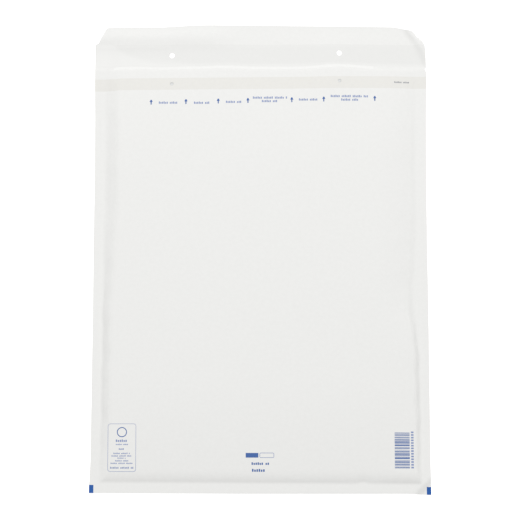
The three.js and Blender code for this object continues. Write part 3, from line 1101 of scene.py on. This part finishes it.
def make_label_print(blue, pale):
    middle = (LABEL_LEFT + LABEL_RIGHT) / 2
    frame_path = rounded_box(LABEL_LEFT, LABEL_RIGHT, LABEL_LOW, LABEL_HIGH, LABEL_CORNER)
    ring_middle = LABEL_HIGH - RING_FROM_TOP
    ring_path = rounded_box(
        middle - RING_RADIUS,
        middle + RING_RADIUS,
        ring_middle - RING_RADIUS,
        ring_middle + RING_RADIUS,
        RING_RADIUS,
    )
    words = [ink_loop(frame_path, LABEL_LINE), *word_lines(middle, LABEL_WORDS)]
    print_piece("print_label_ring", [ink_loop(ring_path, RING_LINE)], blue)
    print_piece("print_label_words", words, pale)


def make_middle_print(blue, pale):
    solid_bar = ink_bar(*SOLID_BAR, BAR_LOW, BAR_HIGH)
    print_piece("print_middle_bar", [solid_bar, *word_lines(0, MIDDLE_WORDS)], blue)
    open_path = rounded_box(*OPEN_BAR, BAR_LOW, BAR_HIGH, BAR_CORNER)
    print_piece("print_middle_open_bar", [ink_loop(open_path, BAR_LINE)], pale)


def bar_width(number, step, cycle):
    """A made-up width for a bar or a gap, by its number."""
    return BAR_MODULE * (1 + number * step % cycle % BAR_WIDTHS)


def make_bar_code(blue, pale):
    bars = []
    low = BARS_LOW
    number = 0
    while low < BARS_HIGH - BAR_MODULE:
        high = low + bar_width(number, *BAR_ORDER)
        bars.append(ink_bar(BARS_LEFT, BARS_RIGHT, low, min(high, BARS_HIGH)))
        low = high + bar_width(number, *BAR_GAP_ORDER)
        number += 1
    print_piece("print_bar_code", bars, blue)
    digits = []
    for low in np.arange(BARS_LOW, BARS_HIGH, DIGIT_PITCH):
        digits.append(ink_bar(DIGIT_LEFT, DIGIT_RIGHT, low, low + DIGIT_SHARE * DIGIT_PITCH))
    print_piece("print_bar_code_digits", digits, pale)


def make_corner_marks(blue):
    left, right = edges(0)
    slabs = [
        ink_bar(left, left + MARK_WIDTH, 0, MARK_HEIGHT),
        ink_bar(right - MARK_WIDTH, right, 0, MARK_HEIGHT),
    ]
    print_piece("print_corner_marks", slabs, blue)


def make_side_code(grey):
    low = BODY - SIDE_CODE_FROM_FOLD
    slabs = ink_words(*SIDE_CODE_ENDS, low, SIDE_CODE_HEIGHT, SIDE_CODE_LETTER)
    print_piece("print_side_code", slabs, grey)


def make_print():
    blue = printing_ink("blue_ink", BLUE_SHADES)
    pale = printing_ink("pale_blue_ink", PALE_BLUE_SHADES)
    make_opening_print(blue, pale)
    make_label_print(blue, pale)
    make_middle_print(blue, pale)
    make_bar_code(blue, pale)
    make_corner_marks(printing_ink("bright_blue_ink", BRIGHT_BLUE_SHADES))
    make_side_code(printing_ink("grey_ink", GREY_SHADES))


def new_material(name):
    material = bpy.data.materials.new(name)
    material.use_nodes = True
    nodes = material.node_tree.nodes
    return material, nodes, material.node_tree.links, nodes["Principled BSDF"]


def feed(links, socket, value):
    """Gives a socket a value, or links it to the socket that the value comes from."""
    if isinstance(value, bpy.types.NodeSocket):
        links.new(value, socket)
    else:
        socket.default_value = value


def opaque(shade):
    return (*shade, 1)


def noise(nodes, links, scale, detail):
    """A noise that is fixed to the object, with about this many grains to the metre."""
    place = nodes.new("ShaderNodeTexCoord")
    texture = nodes.new("ShaderNodeTexNoise")
    texture.inputs["Scale"].default_value = scale
    texture.inputs["Detail"].default_value = detail
    links.new(place.outputs["Object"], texture.inputs["Vector"])
    return texture.outputs["Fac"]


def mixed(nodes, links, share, first, second, blend_type="MIX"):
    """A first colour with a share of a second one laid over it."""
    mix = nodes.new("ShaderNodeMix")
    mix.data_type = "RGBA"
    mix.blend_type = blend_type
    links.new(share, mix.inputs["Factor"])
    feed(links, mix.inputs["A"], first)
    feed(links, mix.inputs["B"], second)
    return mix.outputs["Result"]


def mottled(nodes, links, shades, scale, detail):
    """A colour that wanders between two shades."""
    dark, light = shades
    return mixed(nodes, links, noise(nodes, links, scale, detail), opaque(dark), opaque(light))


def object_axes(nodes, links):
    """The three coordinates of a place, fixed to the object."""
    place = nodes.new("ShaderNodeTexCoord")
    axes = nodes.new("ShaderNodeSeparateXYZ")
    links.new(place.outputs["Object"], axes.inputs["Vector"])
    return axes.outputs


def computed(nodes, links, operation, *values):
    """What an operation makes of numbers and sockets."""
    node = nodes.new("ShaderNodeMath")
    node.operation = operation
    for socket, value in zip(node.inputs, values):
        feed(links, socket, value)
    return node.outputs["Value"]


def rough_surface(nodes, links, shader, scale, depth):
    bump = nodes.new("ShaderNodeBump")
    bump.inputs["Strength"].default_value = GRAIN_STRENGTH
    bump.inputs["Distance"].default_value = depth
    links.new(noise(nodes, links, scale, GRAIN_DETAIL), bump.inputs["Height"])
    links.new(bump.outputs["Normal"], shader.inputs["Normal"])


def paper(name, shades, roughness, colour_over=None):
    """Rough, mottled paper. A function can lay more colour over its shades."""
    material, nodes, links, shader = new_material(name)
    rough_surface(nodes, links, shader, *PAPER_GRAIN)
    shader.inputs["Roughness"].default_value = roughness
    shader.inputs["Specular IOR Level"].default_value = PAPER_SHEEN
    colour = mottled(nodes, links, shades, *PAPER_MOTTLE)
    if colour_over:
        colour = colour_over(nodes, links, colour)
    links.new(colour, shader.inputs["Base Color"])
    return material


def plain_paper():
    return paper("white_paper", PAPER_SHADES, PAPER_ROUGHNESS)


def worn_highlight_paper():
    """Paper that a fold has roughened and whitened, and made lighter as a painted highlight along the
    fold's ridge.
    """
    return paper("worn_highlight_paper", WORN_HIGHLIGHT_SHADES, WORN_ROUGHNESS)


def front_paper():
    """White paper with the faint beige band that the flap's adhesive closes on."""
    return paper("front_paper", PAPER_SHADES, PAPER_ROUGHNESS, band_over)


def band_over(nodes, links, colour):
    axes = object_axes(nodes, links)
    straight = computed(nodes, links, "MULTIPLY_ADD", axes["X"], -BAND_SLANT, axes["Y"])
    middle = BOTTOM_Y + BODY - (BAND_TOP + BAND_BOTTOM) / 2
    band = computed(nodes, links, "COMPARE", straight, middle, (BAND_BOTTOM - BAND_TOP) / 2)
    return mixed(nodes, links, band, colour, opaque(BAND_TINT), "MULTIPLY")


def liner_paper():
    """Smoother paper than the envelope's own and greyer, with painted light that lightens it beside the
    fold and towards its left end.
    """
    return paper("liner_paper", LINER_SHADES, LINER_ROUGHNESS, lit_liner_over)


# Painted light: a lighter shade laid over the liner beside the fold and at its left end
def lit_liner_over(nodes, links, colour):
    return mixed(nodes, links, lit_liner_share(nodes, links), colour, opaque(LIT_LINER_SHADE))


def lit_liner_share(nodes, links):
    """Share of painted light on the liner: beside the fold, and further out towards its left end."""
    axes = object_axes(nodes, links)
    leftward = computed(nodes, links, "SUBTRACT", LIT_LINER_MORE_AT, axes["X"])
    lengths = computed(nodes, links, "DIVIDE", leftward, LIT_LINER_MORE_LENGTH)
    growth = computed(nodes, links, "EXPONENT", lengths)
    least = BOTTOM_Y + BODY + LIT_LINER_LEAST
    reach = computed(nodes, links, "MULTIPLY_ADD", growth, LIT_LINER_MORE, least)
    blend = nodes.new("ShaderNodeMapRange")
    blend.interpolation_type = "SMOOTHSTEP"
    blend.inputs["From Min"].default_value = -LIT_LINER_BLEND
    blend.inputs["From Max"].default_value = LIT_LINER_BLEND
    links.new(computed(nodes, links, "SUBTRACT", reach, axes["Y"]), blend.inputs["Value"])
    return blend.outputs["Result"]


def clear_film():
    material, nodes, links, shader = new_material("clear_film")
    links.new(mottled(nodes, links, FILM_SHADES, *FILM_MOTTLE), shader.inputs["Base Color"])
    rough_surface(nodes, links, shader, *FILM_GRAIN)
    shader.inputs["Roughness"].default_value = 0.35
    shader.inputs["Specular IOR Level"].default_value = 0.3
    shader.inputs["IOR"].default_value = 1.5
    shader.inputs["Alpha"].default_value = 0.8
    return material


def amber_adhesive():
    material, nodes, links, shader = new_material("amber_adhesive")
    links.new(mottled(nodes, links, ADHESIVE_SHADES, *ADHESIVE_MOTTLE), shader.inputs["Base Color"])
    rough_surface(nodes, links, shader, *ADHESIVE_GRAIN)
    shader.inputs["Roughness"].default_value = 0.25
    return material


def printing_ink(name, shades):
    material, nodes, links, shader = new_material(name)
    links.new(mottled(nodes, links, shades, *INK_MOTTLE), shader.inputs["Base Color"])
    shader.inputs["Roughness"].default_value = 0.6
    shader.inputs["Specular IOR Level"].default_value = PAPER_SHEEN
    return material


def floor_paint():
    material, _, _, shader = new_material("pale_floor")
    shader.inputs["Base Color"].default_value = opaque(FLOOR_SHADE)
    shader.inputs["Roughness"].default_value = 0.9
    shader.inputs["Emission Color"].default_value = opaque(WHITE)
    shader.inputs["Emission Strength"].default_value = FLOOR_GLOW
    return material


def make_camera():
    """The photograph's view: nearly from above, a little from the bottom edge's side."""
    camera = bpy.data.objects.new("camera", bpy.data.cameras.new("camera"))
    camera.data.sensor_width = CAMERA_SENSOR
    camera.data.lens = CAMERA_LENS
    back = Vector((0, -math.cos(CAMERA_ELEVATION), math.sin(CAMERA_ELEVATION)))
    camera.location = Vector(CAMERA_AIM) + CAMERA_DISTANCE * back
    camera.rotation_euler = (-back).to_track_quat("-Z", "Y").to_euler()
    bpy.context.scene.collection.objects.link(camera)
    bpy.context.scene.camera = camera


def make_floor():
    bpy.ops.mesh.primitive_plane_add(size=FLOOR_SIZE)
    floor = bpy.context.object
    floor.name = "floor"
    floor.data.materials.append(floor_paint())


def make_sky():
    world = bpy.data.worlds.new("studio")
    world.use_nodes = True
    background = world.node_tree.nodes["Background"]
    background.inputs["Color"].default_value = opaque(WHITE)
    background.inputs["Strength"].default_value = SKY_STRENGTH
    bpy.context.scene.world = world


def make_top_light():
    """A soft light from above the flap's side, aimed at the middle of the envelope."""
    light = bpy.data.objects.new("top_light", bpy.data.lights.new("top_light", "AREA"))
    light.data.shape = "SQUARE"
    light.data.size = TOP_LIGHT_SIZE
    light.data.energy = TOP_LIGHT_POWER
    light.location = TOP_LIGHT_PLACE
    light.rotation_euler = (-Vector(TOP_LIGHT_PLACE)).to_track_quat("-Z", "Y").to_euler()
    bpy.context.scene.collection.objects.link(light)


make_paper()
make_lining()
make_closure_strip()
make_print()
make_camera()
make_floor()
make_sky()
make_top_light()
bpy.context.scene.view_settings.view_transform = "Standard"
